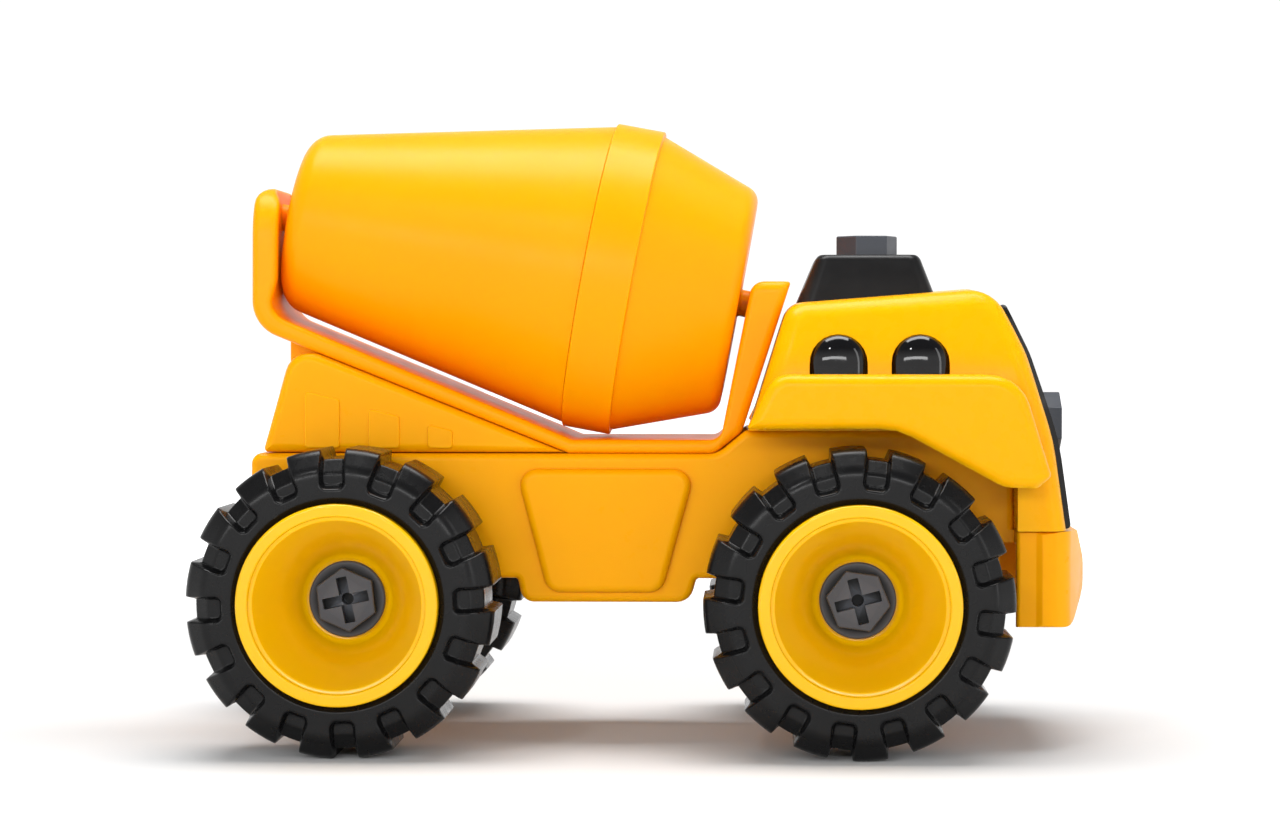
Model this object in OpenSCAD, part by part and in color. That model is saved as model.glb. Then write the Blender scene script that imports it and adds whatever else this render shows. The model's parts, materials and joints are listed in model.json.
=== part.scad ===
// Toy cement mixer, a take-apart truck on four lugged wheels.
// Frame: +X forwards, +Y to the truck's left, +Z up.
// The origin is on the ground, under the middle of the truck.

/* [Wheels] */
// Diameter over the tread lugs
wheel_d = 88; // [86:0.5:88]
// Width of a tyre across its sidewalls
tyre_w = 38; // [34:0.5:38]
// Distance between the middles of the left and right tyres
track = 104; // [104:0.5:110]
// Distance between the front and rear axles
wheelbase = 146.5; // [145:0.5:147]
// Tread lugs round each tyre
lug_count = 16; // [12:1:18]
// Height of a lug over the floor of its grooves
lug_h = 3; // [2:0.5:3.5]

/* [Body] */
// Half the width of the chassis between the wheels
chassis_half_w = 31; // [30:0.5:31]
// Half the width of the cab above the fenders
cab_half_w = 44; // [42:0.5:46]
// Half the width over the outside of the fenders
fender_half_w = 62; // [60:0.5:66]
// Height of the deck that carries the drum cradle
deck_z = 85.2; // [85:0.1:85.2]
// Thickness of a moulded wall
wall = 2.4; // [2:0.1:2.8]

/* [Drum] */
// Radius over the raised band of the drum
band_r = 46.3; // [45:0.1:46.3]
// Width of the raised band
band_w = 14.5; // [13:0.5:15]
// Tilt of the drum axis, nose down
drum_tilt = 10.6; // [10.4:0.1:10.8]
// Radius of the drum's stub pivots
stub_r = 4; // [3.5:0.1:4.2]

/* [Bolts] */
// Radius of a bolt's shank
shank_r = 5; // [4.6:0.1:5.4]
// Radius of a hexagon head across its corners
hex_r = 9.3; // [9:0.1:9.6]
// Radius of the round flange under a head
flange_r = 11; // [10.5:0.1:11.5]

/* [Hidden] */
$fn = 96;

// Fits
run_gap = 0.08;      // radial, between a shank or stub and what turns on it
loose_gap = 0.2;     // between still pieces that only lie beside each other
seam_gap = 0.1;      // between the two drum shells, where they meet under the band
past = 1;            // how far a cutter reaches past the face it opens

// Wheels
wheel_r = wheel_d / 2;
axle_z = wheel_r;
rear_axle_x = -85;
front_axle_x = rear_axle_x + wheelbase;
rim_r = 28.5;        // outside of the rim's barrel
ring_proud = 2.5;    // how far the rim's ring stands out of the sidewall
dish_floor = -4;     // hub floor, measured outwards from the tyre's middle
hub_end = track / 2 - chassis_half_w - 3;
boss_face = track / 2 - hub_end - 0.3;

// Bolts
head_h = 3;
flange_h = 2;
tall_head_h = 6;
thread_gap = 0.1;
slot_w = 3.1;
slot_len = 13.3;
slot_depth = 2.2;
pilot_r = 1.75;

// Drum
drum_x = -10.4;
drum_z = 136.75;
rear_rim_t = -97.8;    // where the rear corner's rounding meets the closed end
rear_end_t = -99.7;    // the crown of the slightly domed rear end
front_end_t = 38.3;
neck_r = 43.9;
stub_len = 6.1;        // the stubs, measured from the ends of the drum
nose_stub_len = 8;

// Colours
cab_yellow = "#ffb612";
fender_yellow = "#fcc010";
drum_orange = "#ff9d0a";
bolt_grey = "#55585f";
satin_black = "#2a2b2d";

// ---- helpers ---------------------------------------------------------

function unit(v) = v / norm(v);

// Signed turn from angle a to angle b, the short way
function turn(a, b) = let(d = b - a) d > 180 ? d - 360 : d < -180 ? d + 360 : d;

// The points that round the corner q between p and s with radius q[2]
function corner(p, q, s) =
    let(here = [q.x, q.y],
        a = unit([p.x, p.y] - here),
        b = unit([s.x, s.y] - here),
        half = acos(a * b) / 2,
        centre = here + unit(a + b) * q[2] / sin(half),
        from = here + a * q[2] / tan(half) - centre,
        to = here + b * q[2] / tan(half) - centre,
        start = atan2(from.y, from.x),
        sweep = turn(start, atan2(to.y, to.x)),
        steps = max(2, ceil(abs(sweep) / 15)))
    [for (i = [0:steps]) centre + q[2] * [cos(start + sweep * i / steps),
                                          sin(start + sweep * i / steps)]];

// An outline of [x, y, corner radius] points as a plain outline
function rounded(pts) =
    let(n = len(pts))
    [for (i = [0:n - 1])
        each pts[i][2] == 0 ? [[pts[i].x, pts[i].y]]
                            : corner(pts[(i + n - 1) % n], pts[i], pts[(i + 1) % n])];

// A side outline in X and Z, spread from y0 to y1
module side_slab(pts, y0, y1)
    translate([0, y1, 0]) rotate([90, 0, 0]) linear_extrude(y1 - y0) polygon(rounded(pts));

// A front outline in Y and Z, spread from x0 to x1
module front_slab(pts, x0, x1)
    translate([x0, 0, 0]) rotate([90, 0, 90]) linear_extrude(x1 - x0) polygon(rounded(pts));

// A box from its lowest to its highest corner
module box(low, high) translate(low) cube(high - low);

// Children on both sides of the truck
module both_sides() {
    children();
    mirror([0, 1, 0]) children();
}

// Local Z of the children points out of the truck on the given side
module on_wheel(x, side)
    translate([x, side * track / 2, axle_z]) rotate([-90 * side, 0, 0]) children();

// ---- bolts -----------------------------------------------------------

// A plastic bolt: its flange stands on z = 0 and its shank hangs below
module bolt(length, head = head_h, flanged = true, twist = 0) {
    lift = flanged ? flange_h : 0;
    difference() {
        union() {
            if (flanged) cylinder(r = flange_r, h = flange_h);
            rotate([0, 0, twist]) translate([0, 0, lift]) cylinder(r = hex_r, h = head, $fn = 6);
            translate([0, 0, -length]) cylinder(r = shank_r, h = length + 0.5);
        }
        for (turned = [0, 90])
            rotate([0, 0, twist - 13 + turned])
                translate([-slot_len / 2, -slot_w / 2, lift + head - slot_depth])
                    cube([slot_len, slot_w, slot_depth + past]);
        translate([0, 0, lift + head - 2 * slot_depth]) cylinder(r = pilot_r, h = 3 * slot_depth);
    }
}

// ---- wheels ----------------------------------------------------------

module tyre_body() {
    half = tyre_w / 2;
    bead_r = rim_r + 0.1;
    rotate_extrude()
        polygon(rounded([[bead_r, half - 1.5, 0], [bead_r + 1.5, half, 0],
                         [wheel_r - 6, half, 5], [wheel_r, half - 5, 4],
                         [wheel_r, 5 - half, 4], [wheel_r - 6, -half, 5],
                         [bead_r + 1.5, -half, 0], [bead_r, 1.5 - half, 0],
                         [bead_r, 4 - half, 0], [wheel_r - 6, 5 - half, 3],
                         [wheel_r - 6, half - 5, 3], [bead_r, half - 4, 0]]));
}

// One groove: across the tread, and down both sidewalls to a round end
module tread_groove() {
    groove_w = 6.6;
    half = tyre_w / 2;
    side_end = 0.75 * wheel_r + groove_w / 2;
    translate([wheel_r - lug_h, -groove_w / 2, -half - past])
        cube([lug_h + past, groove_w, tyre_w + 2 * past]);
    for (z = [-half - past, half - lug_h]) {
        translate([side_end, -groove_w / 2, z]) cube([wheel_r, groove_w, lug_h + past]);
        translate([side_end, 0, z]) cylinder(r = groove_w / 2, h = lug_h + past);
    }
}

module tyre(x, side, phase)
    color(satin_black) on_wheel(x, side)
        difference() {
            tyre_body();
            for (i = [0:lug_count - 1])
                rotate([0, 0, phase + (i + 0.5) * 360 / lug_count]) tread_groove();
        }

module rim(x, side) {
    bore_r = shank_r + run_gap;
    outer = tyre_w / 2 + ring_proud;
    inner = 1 - tyre_w / 2;
    color(fender_yellow) on_wheel(x, side)
        rotate_extrude()
            polygon([[bore_r, dish_floor], [flange_r + 1, dish_floor],
                     [flange_r + 2, dish_floor + 0.8],
                     [rim_r - 3.4, outer - 1.4], [rim_r - 2.6, outer - 1.2],
                     [rim_r - 2.4, outer - 0.4], [rim_r - 2, outer], [rim_r - 0.5, outer],
                     [rim_r, outer - 0.5], [rim_r, inner], [rim_r - wall, inner],
                     [rim_r - wall, outer - 6.5], [flange_r + 0.4, dish_floor - 2.6],
                     [8.5, dish_floor - 3.4], [8.5, -hub_end], [bore_r, -hub_end]]);
}

module wheel_bolt(x, side, twist)
    color(bolt_grey) on_wheel(x, side)
        translate([0, 0, dish_floor + 0.2]) bolt(30, twist = twist);

// ---- chassis ---------------------------------------------------------

belly_x = [-36, 13];
belly_z = 41.6;
floor_z = 48.6;
cab_deck_z = 92;
bolt_seat_z = 58;     // seat of the two bolts that come up from below
socket_z = 68;        // where the sockets of cradle and pedestal end
pedestal_bolt_x = -56;
cradle_bolt_x = -5;
roof_bolt_x = 65.6;
front_bolt_z = 93.6;
front_bolt_seat_x = 117.6;
arch_x = 107.4;       // back of the nose, just in front of the front tyres
nose_x = 129;
bumper_top_z = 63.2;

module chassis_hull() {
    side_slab([[-116, deck_z, 2], [-116, floor_z, 3], [belly_x[0] - 1.5, floor_z, 1],
               [belly_x[0], belly_z, 4], [belly_x[1], belly_z, 5],
               [belly_x[1] + 2, floor_z, 1], [arch_x, floor_z, 0],
               [arch_x, cab_deck_z, 0], [29.3, cab_deck_z, 1], [21, deck_z, 7]],
              -chassis_half_w, chassis_half_w);
    both_sides()
        side_slab([[-38, 80.8, 5], [-28.6, 44.6, 5], [5, 44.6, 5], [15, 80.8, 5]],
                  chassis_half_w - 1, chassis_half_w + 3);
    for (x = [rear_axle_x, front_axle_x]) {
        box([x - 11, -chassis_half_w, axle_z - 11], [x + 11, chassis_half_w, floor_z + 3]);
        translate([x, boss_face, axle_z]) rotate([90, 0, 0]) cylinder(r = 9, h = 2 * boss_face);
    }
}

// Front bumper: a curved nose that wraps round to the wheel arches
module bumper() {
    half = 42;
    intersection() {
        side_slab([[100, bumper_top_z, 0], [100, 35.7, 0], [124, 35.7, 2], [nose_x, 42, 6],
                   [nose_x, 54, 8], [126.5, bumper_top_z, 0]], -half, half);
        linear_extrude(70)
            polygon(rounded([[100, -chassis_half_w, 0], [arch_x, -chassis_half_w, 0],
                             [arch_x, -half, 1], [113, -half, 2], [122, -half + 1, 8],
                             [nose_x, -18, 16], [nose_x, 18, 16], [122, half - 1, 8],
                             [113, half, 2], [arch_x, half, 1],
                             [arch_x, chassis_half_w, 0], [100, chassis_half_w, 0]]));
    }
}

// Sleeve on the tub's floor that a bolt comes up through
module floor_sleeve(x) translate([x, 0, belly_z]) cylinder(r = 14, h = socket_z - belly_z);

module floor_sleeve_bore(x) {
    translate([x, 0, belly_z - past]) cylinder(r = 12, h = bolt_seat_z - belly_z + past);
    translate([x, 0, belly_z]) cylinder(r = shank_r + thread_gap, h = 40);
}

module chassis() {
    inside = chassis_half_w - 2.6;
    socket_r = shank_r + thread_gap;
    color(cab_yellow) difference() {
        union() {
            difference() {
                union() {
                    chassis_hull();
                    bumper();
                }
                // the tub under the deck
                box([-113, -inside, 57], [16, inside, deck_z + past]);
                box([-71, -inside, floor_z + 3], [16, inside, deck_z]);
                box([belly_x[0] + 3, -inside, belly_z + 3], [belly_x[1] - 3, inside, deck_z]);
                // the pockets under the cab, open below
                box([34, -inside, floor_z - past], [47, inside, cab_deck_z - 3]);
                box([76, -inside, 30], [arch_x - 3, inside, cab_deck_z - 3]);
                box([arch_x - 4, -38, 30], [122, 38, 59.6]);
            }
            intersection() {
                union() {
                    floor_sleeve(pedestal_bolt_x);
                    floor_sleeve(cradle_bolt_x);
                }
                chassis_hull();
            }
            // posts inside the cab for the roof bolt and the front bolt
            translate([roof_bolt_x, 0, cab_deck_z - 3]) cylinder(r = 9, h = 31);
            box([arch_x - 16, -9, 82], [arch_x, 9, 105]);
        }
        for (x = [rear_axle_x, front_axle_x], side = [-1, 1])
            on_wheel(x, side) translate([0, 0, -36]) cylinder(r = socket_r, h = 40);
        floor_sleeve_bore(pedestal_bolt_x);
        floor_sleeve_bore(cradle_bolt_x);
        translate([roof_bolt_x, 0, 96]) cylinder(r = socket_r, h = 40);
        translate([arch_x - 13, 0, front_bolt_z]) rotate([0, 90, 0])
            cylinder(r = socket_r, h = 20);
    }
}

// ---- rear pedestal ---------------------------------------------------

slope = 21.7;         // pitch of the beam that the drum leans over
beam_foot = [-22.5, deck_z];   // where the underside of the beam meets the deck

// Height of the beam's underside at x
function beam_z(x) = beam_foot.y + (beam_foot.x - x) * tan(slope);

module rear_pedestal() {
    half = chassis_half_w;
    top_gap = 0.15;
    color(cab_yellow) difference() {
        union() {
            side_slab([[-113, deck_z, 1], [-104.5, beam_z(-104.5) - 3.4, 8],
                       [-97, beam_z(-97) - top_gap, 8],
                       [beam_foot.x - 2, deck_z + 0.6, 0], [beam_foot.x - 3.5, deck_z, 0]],
                      -half, half);
            side_slab([[-107, 104, 0], [-107, beam_z(-107) - top_gap, 0],
                       [-98, beam_z(-98) - top_gap, 0], [-98, 104, 0]], -12, 12);
            // raised ribs on the flanks
            both_sides()
                for (rib = [[-100, 10.4, 103.6], [-81.2, 9.2, 98.4], [-63.8, 7.4, 93.8]])
                    side_slab([[rib[0], deck_z + 1.5, 0.5], [rib[0], rib[2], 0.5],
                               [rib[0] + rib[1], rib[2] - rib[1] * 0.25, 0.5],
                               [rib[0] + rib[1], deck_z + 1.5, 0.5]], half - 1, half + 0.6);
            translate([pedestal_bolt_x, 0, socket_z]) cylinder(r = 8.5, h = 24);
        }
        difference() {
            side_slab([[-110, deck_z - past, 0], [-102, 107, 0], [-97, 109, 0],
                       [-40, deck_z, 0], [-40, deck_z - past, 0]], -half + wall, half - wall);
            translate([pedestal_bolt_x, 0, socket_z]) cylinder(r = 8.5, h = 40);
        }
        translate([pedestal_bolt_x, 0, socket_z - past]) cylinder(r = shank_r + thread_gap, h = 21);
    }
}

// ---- cradle ----------------------------------------------------------

cradle_half_w = 30;
cradle_base_h = 4;
post_x = [-116.2, -110.9];   // outer and inner face of the rear post
post_top_z = 163.6;
nose_post_top_z = 135.6;

// Children stand in the drum's own frame: Z along its axis, nose first
module on_drum()
    translate([drum_x, 0, drum_z]) rotate([0, 90 + drum_tilt, 0]) children();

// The strip bent from the rear post, down the beam and up the front post
module cradle_strip() {
    beam_h = 5.8;
    top_z = deck_z + cradle_base_h;
    side_slab([[post_x[0], beam_z(post_x[0]), 11], [post_x[0], post_top_z, 4.5],
               [post_x[1], post_top_z, 0.5], [post_x[1], beam_z(post_x[1]) + beam_h, 8],
               [beam_foot.x + 1, top_z, 3], [22, top_z, 4],
               [31.2, nose_post_top_z, 3.5], [42.6, nose_post_top_z, 1],
               [28.3, 91.5, 5], [20.5, deck_z, 6], [beam_foot.x, deck_z, 2]],
              -cradle_half_w, cradle_half_w);
    // the rear post's thick edges
    both_sides()
        side_slab([[post_x[1] - 1, beam_z(post_x[1]) + 2, 0], [post_x[1] - 1, post_top_z - 2, 0],
                   [post_x[1] + 2.2, post_top_z - 4, 3], [post_x[1] + 2.2, 130, 8],
                   [post_x[1] + 8, beam_z(post_x[1] + 8) + 2, 0]],
                  cradle_half_w - 5, cradle_half_w);
}

module cradle() {
    post_round = 14;
    bore_r = stub_r + run_gap;
    color(drum_orange) difference() {
        union() {
            intersection() {
                cradle_strip();
                // the posts are rounded at the top, seen along the truck
                union() {
                    front_slab([[-cradle_half_w, 60, 0], [cradle_half_w, 60, 0],
                                [cradle_half_w - 3, post_top_z, post_round],
                                [3 - cradle_half_w, post_top_z, post_round]], -120, -60);
                    front_slab([[-cradle_half_w, 60, 0], [cradle_half_w, 60, 0],
                                [cradle_half_w, nose_post_top_z, 3],
                                [-cradle_half_w, nose_post_top_z, 3]], -60, 60);
                }
            }
            translate([cradle_bolt_x, 0, socket_z]) cylinder(r = 8.5, h = deck_z - socket_z + past);
        }
        on_drum() {
            translate([0, 0, rear_end_t - stub_len - 0.4]) cylinder(r = bore_r, h = 10);
            translate([0, 0, front_end_t]) cylinder(r = bore_r, h = nose_stub_len + 0.6);
        }
        translate([cradle_bolt_x, 0, socket_z - past]) cylinder(r = shank_r + thread_gap, h = 16);
    }
}

// ---- drum ------------------------------------------------------------

module turned(pts) rotate_extrude() polygon(rounded(pts));

module drum_rear_shell() {
    shell_r = band_r - 1;
    step_t = -band_w / 2 - seam_gap;
    skin = 2.2;
    color(drum_orange) on_drum() {
        turned([[0, rear_end_t, 0], [10, rear_end_t + 0.4, 0], [17, rear_rim_t - 0.2, 0],
                [26, rear_rim_t, 7.5], [shell_r, step_t, 0],
                [neck_r, step_t, 0], [neck_r, 3, 0], [neck_r - skin, 3, 0],
                [neck_r - skin, step_t - 3, 0], [shell_r - skin - 1, step_t - 4, 0],
                [26 - skin, rear_rim_t + skin, 5], [0, rear_end_t + skin, 0]]);
        translate([0, 0, rear_end_t - stub_len]) cylinder(r = stub_r, h = stub_len + past);
    }
}

module drum_front_shell() {
    face_r = 33.4;
    cone_r = band_r - 1.4;
    skin = 2.2;
    half = band_w / 2;
    color(drum_orange) on_drum() {
        turned([[0, front_end_t, 0], [face_r, front_end_t, 5], [cone_r, half, 0],
                [band_r, half, 0.4], [band_r, -half, 0.4],
                [neck_r + 0.1, -half, 0], [neck_r + 0.1, 3.2, 0],
                [neck_r - skin, 3.2, 0], [neck_r - skin, half - 1, 0],
                [face_r - skin, front_end_t - skin, 3], [0, front_end_t - skin, 0]]);
        translate([0, 0, front_end_t - past]) cylinder(r = stub_r, h = nose_stub_len + past);
    }
}

// ---- cab -------------------------------------------------------------

roof_rear = [41.8, 129.6];
roof_front = [95.5, 133.7];

// Height of the roof at x
function roof_z(x) =
    roof_rear.y + (x - roof_rear.x) * (roof_front.y - roof_rear.y) / (roof_front.x - roof_rear.x);

// Side outline of the cab, drawn in by the given amount and let down by drop
function cab_outline(inset, drop) = [
    [30 + inset - 0.3 * drop, cab_deck_z + 0.3 - drop, 0],
    [roof_rear.x + inset, roof_rear.y - inset, 5 - inset],
    [roof_front.x - inset * 0.6, roof_front.y - inset, 14 - inset],
    [108.6 - inset, 114.5, 30],
    [116.4 - inset, 89.6, 60],
    [120.4 + 0.15 * drop - inset, bumper_top_z + 0.3 - drop, 0],
    [arch_x + inset, bumper_top_z + 0.3 - drop, 0],
    [arch_x + inset, cab_deck_z + 0.3 - drop, 0]];

// Front outline of the cab above its sill, drawn in by the given amount
module cab_section(inset)
    front_slab([[-cab_half_w + inset, 60, 0], [cab_half_w - inset, 60, 0],
                [cab_half_w - inset, 107, 6],
                [cab_half_w - 7 - inset, roof_front.y - inset, 9 - inset],
                [7 - cab_half_w + inset, roof_front.y - inset, 9 - inset],
                [-cab_half_w + inset, 107, 6]], 20, 130);

function fender_outline(inset, sag) = [
    [29.8 + inset, 93.2 - sag, 0.5],
    [37.5 + inset, 108.6 - inset, 6],
    [98.5 - inset, 108.6 - inset, 13],
    [115 - inset, 80 - sag, 1.5],
    [111.5 - inset, 76.4 - sag, 3],
    [102 - inset, 76.8 - sag, 9],
    [72, 93.2 - sag, 18]];

module fender() difference() {
    side_slab(fender_outline(0, 0), cab_half_w - past, fender_half_w);
    side_slab(fender_outline(wall, 30), cab_half_w - 2 * past, fender_half_w - wall);
}

// The arch-topped side windows at their two places
window_x = [56.1, 79.6];
window_r = 8.2;
window_z = 111.7;

module window_shapes(grow, y0, y1)
    for (x = window_x)
        side_slab([[x - window_r - grow, 108.9 - grow, 0], [x + window_r + grow, 108.9 - grow, 0],
                   [x + window_r + grow, window_z + window_r + grow, window_r + grow - 0.01],
                   [x - window_r - grow, window_z + window_r + grow, window_r + grow - 0.01]],
                  y0, y1);

// The room inside the cab, open below over the chassis and in the nose
module cab_room() intersection() {
    side_slab(cab_outline(wall, 20), -cab_half_w, cab_half_w);
    cab_section(wall);
    union() {
        box([20, -cab_half_w, cab_deck_z + wall], [130, cab_half_w, 140]);
        box([20, -chassis_half_w, 80], [arch_x - wall, chassis_half_w, 100]);
        box([arch_x + wall, -cab_half_w, 40], [130, cab_half_w, 100]);
        box([arch_x - wall, -9.2, cab_deck_z - past], [arch_x + 2 * wall, 9.2, 105.2]);
    }
}

module cab_shell() {
    color(fender_yellow) difference() {
        union() {
            intersection() {
                side_slab(cab_outline(0, 0), -cab_half_w, cab_half_w);
                cab_section(0);
            }
            both_sides() fender();
        }
        cab_room();
        both_sides() window_shapes(0.1, cab_half_w - 10, cab_half_w + 4);
        translate([roof_bolt_x, 0, 120]) cylinder(r = shank_r + loose_gap, h = 30);
        translate([100, 0, front_bolt_z]) rotate([0, 90, 0])
            cylinder(r = shank_r + loose_gap, h = 30);
    }
}

module side_windows(side) {
    back = cab_half_w - 10.5;
    color(satin_black) mirror([0, side < 0 ? 1 : 0, 0]) {
        intersection() {
            window_shapes(0, back, cab_half_w + 0.5);
            front_slab([[20, 100, 0], [cab_half_w + 0.4, 100, 0], [cab_half_w + 0.4, 109, 4],
                        [cab_half_w - 2.6, 120.4, 3], [20, 120.4, 0]], 40, 95);
        }
        box([window_x[0] - 10, back - 1.6, 104], [window_x[1] + 10, back + 0.5, 119]);
    }
}

// ---- front panel, roof light box ------------------------------------

module front_panel() {
    half = 37;
    gap = 0.15;
    thick = 3;
    color(satin_black) difference() {
        intersection() {
            side_slab([[102.6 + gap, 128, 0.5], [108.6 + gap, 114.5, 30], [116.4 + gap, 89.6, 60],
                       [120.4 + gap, bumper_top_z + 0.5, 0], [120.4 + thick, bumper_top_z + 0.5, 1],
                       [116.4 + thick + 0.4, 89.6, 60], [108.6 + thick, 114.5, 30],
                       [104.5, 129.4, 1]], -half, half);
            front_slab([[-half, 60, 0], [half, 60, 2], [half, 100, 30], [half - 5, 131, 8],
                        [5 - half, 131, 8], [-half, 100, 30]], 95, 130);
        }
        // flat seat of the bolt
        translate([front_bolt_seat_x, 0, front_bolt_z]) rotate([0, 90, 0])
            cylinder(r = hex_r + 1, h = 10);
        translate([100, 0, front_bolt_z]) rotate([0, 90, 0])
            cylinder(r = shank_r + loose_gap, h = 30);
    }
}

light_box_top_z = 143.6;

module roof_light_box() {
    color(satin_black) difference() {
        intersection() {
            side_slab([[44.6, roof_z(44.6) + 0.1, 0.5], [50.2, light_box_top_z, 2],
                       [80.6, light_box_top_z, 2], [85.6, roof_z(85.6) + 0.1, 0.5]], -30, 30);
            front_slab([[-27, 120, 0], [27, 120, 0], [22, light_box_top_z, 3],
                        [-22, light_box_top_z, 3]], 40, 90);
        }
        translate([roof_bolt_x, 0, 120]) cylinder(r = shank_r + loose_gap, h = 30);
    }
}

module roof_bolt()
    color(bolt_grey) translate([roof_bolt_x, 0, light_box_top_z])
        bolt(44, head = tall_head_h, flanged = false, twist = 8);

module front_bolt()
    color(bolt_grey) translate([front_bolt_seat_x, 0, front_bolt_z]) rotate([0, 90, 0])
        bolt(20, head = tall_head_h, flanged = false, twist = 0);

module deck_bolts()
    color(bolt_grey) for (x = [pedestal_bolt_x, cradle_bolt_x])
        translate([x, 0, bolt_seat_z]) mirror([0, 0, 1]) bolt(23);

// ---- assembly --------------------------------------------------------

chassis();
rear_pedestal();
cradle();
drum_rear_shell();
drum_front_shell();
cab_shell();
side_windows(1);  // side_windows_left
side_windows(-1);  // side_windows_right
front_panel();
roof_light_box();
roof_bolt();
front_bolt();
deck_bolts();
rim(rear_axle_x, 1);  // rim_rear_left
rim(rear_axle_x, -1);  // rim_rear_right
rim(front_axle_x, 1);  // rim_front_left
rim(front_axle_x, -1);  // rim_front_right
tyre(rear_axle_x, 1, 4);  // tyre_rear_left
tyre(rear_axle_x, -1, 13.5);  // tyre_rear_right
tyre(front_axle_x, 1, 12);  // tyre_front_left
tyre(front_axle_x, -1, 4.1);  // tyre_front_right
wheel_bolt(rear_axle_x, 1, 10);  // wheel_bolt_rear_left
wheel_bolt(rear_axle_x, -1, 30);  // wheel_bolt_rear_right
wheel_bolt(front_axle_x, 1, 23);  // wheel_bolt_front_left
wheel_bolt(front_axle_x, -1, 38);  // wheel_bolt_front_right
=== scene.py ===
import json
import math

import bmesh
import bpy
from mathutils import Matrix, Vector


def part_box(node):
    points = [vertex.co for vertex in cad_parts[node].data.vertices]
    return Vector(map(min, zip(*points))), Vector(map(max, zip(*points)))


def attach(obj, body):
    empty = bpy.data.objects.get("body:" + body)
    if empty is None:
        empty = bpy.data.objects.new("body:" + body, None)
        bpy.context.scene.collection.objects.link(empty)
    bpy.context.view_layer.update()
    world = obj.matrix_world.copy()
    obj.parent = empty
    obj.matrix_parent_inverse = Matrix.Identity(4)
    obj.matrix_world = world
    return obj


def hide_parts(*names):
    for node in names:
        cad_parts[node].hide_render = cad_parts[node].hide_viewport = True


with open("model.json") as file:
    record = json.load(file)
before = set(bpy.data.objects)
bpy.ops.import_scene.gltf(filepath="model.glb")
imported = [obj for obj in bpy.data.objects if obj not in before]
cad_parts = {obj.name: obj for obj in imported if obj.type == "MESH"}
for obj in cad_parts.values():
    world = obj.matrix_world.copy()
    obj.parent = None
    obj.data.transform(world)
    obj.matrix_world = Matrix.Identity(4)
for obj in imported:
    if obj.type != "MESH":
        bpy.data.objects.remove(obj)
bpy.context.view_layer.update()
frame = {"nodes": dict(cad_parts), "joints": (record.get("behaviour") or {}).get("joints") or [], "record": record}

MM = 0.001

# ---- places that several pieces share, in millimetres --------------------

SIDES = {"left": 1, "right": -1}
ENDS = ("rear", "front")
DECK_Z = 85.2            # the deck that the cradle and the pedestal stand on
CHASSIS_HALF = 31.0      # half the width of the chassis and of the pedestal
ARCH_X = 107.4           # the front end of the front wheel arch
BEAM_FOOT_X = -22.5      # where the cradle's sloping beam meets the deck
BEAM_SLOPE = math.tan(math.radians(21.7))
FRONT_SEAT = Matrix.Translation((117.6, 0, 93.6)) @ Matrix.Rotation(math.radians(90), 4, "Y")


def span(node):
    """Lowest and highest corner of a CAD node, in millimetres."""
    low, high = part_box(node)
    return low / MM, high / MM


def beam_z(x):
    """Height of the underside of the cradle's beam."""
    return DECK_Z + (BEAM_FOOT_X - x) * BEAM_SLOPE


def smooth(t):
    """A soft step that rises from 0 to 1 while t does."""
    t = min(1, max(0, t))
    return t * t * (3 - 2 * t)


# ---- outlines -----------------------------------------------------------

TIGHTEST = 0.03     # the least radius that an outer corner keeps when it is drawn in


def corner_arc(before, here, after, radius):
    """Centre, first arm and sweep of the arc that turns the corner at here."""
    back = (before - here).normalized()
    ahead = (after - here).normalized()
    half = back.angle(ahead) / 2
    centre = here + (back + ahead).normalized() * (radius / math.sin(half))
    arm = here + back * (radius / math.tan(half)) - centre
    sweep = (math.pi - 2 * half) * (1 if back.cross(ahead) < 0 else -1)
    return centre, arm, sweep


def arc_points(centre, arm, sweep, turns):
    """Points from one end of an arc to the other."""
    points = []
    for k in range(turns + 1):
        angle = sweep * k / turns
        c, s = math.cos(angle), math.sin(angle)
        points.append(centre + Vector((arm.x * c - arm.y * s, arm.x * s + arm.y * c)))
    return points


def rounded(corners, steps=6, closed=True):
    """Points of an outline whose corners (u, v, radius) are turned by arcs."""
    ends = [Vector(c[:2]) for c in corners]
    count = len(corners)
    points = []
    for i, here in enumerate(ends):
        radius = corners[i][2]
        if radius <= 0 or (not closed and i in (0, count - 1)):
            points.append(here)
            continue
        centre, arm, sweep = corner_arc(ends[i - 1], here, ends[(i + 1) % count], radius)
        turns = max(2, math.ceil(abs(sweep) / (math.pi / 2) * steps - 0.001))
        points += arc_points(centre, arm, sweep, turns)
    return points


def drawn_in(corners, amount):
    """Corners (u, v, radius) drawn in by amount: outer corners tighten and inner ones open."""
    ends = [Vector(c[:2]) for c in corners]
    side = 1 if sum(p.cross(q) for p, q in zip(ends, ends[1:] + ends[:1])) > 0 else -1
    moved = []
    for i, (u, v, radius) in enumerate(corners):
        before = (ends[i] - ends[i - 1]).normalized()
        after = (ends[(i + 1) % len(ends)] - ends[i]).normalized()
        n0 = Vector((-before.y, before.x)) * side
        n1 = Vector((-after.y, after.x)) * side
        here = ends[i] + (n0 + n1) * (amount / (1 + n0.dot(n1)))
        if radius > 0:
            outer = before.cross(after) * side > 0
            radius = max(radius - amount, TIGHTEST) if outer else radius + amount
        moved.append((here.x, here.y, radius))
    return moved


# ---- meshes -------------------------------------------------------------

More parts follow.
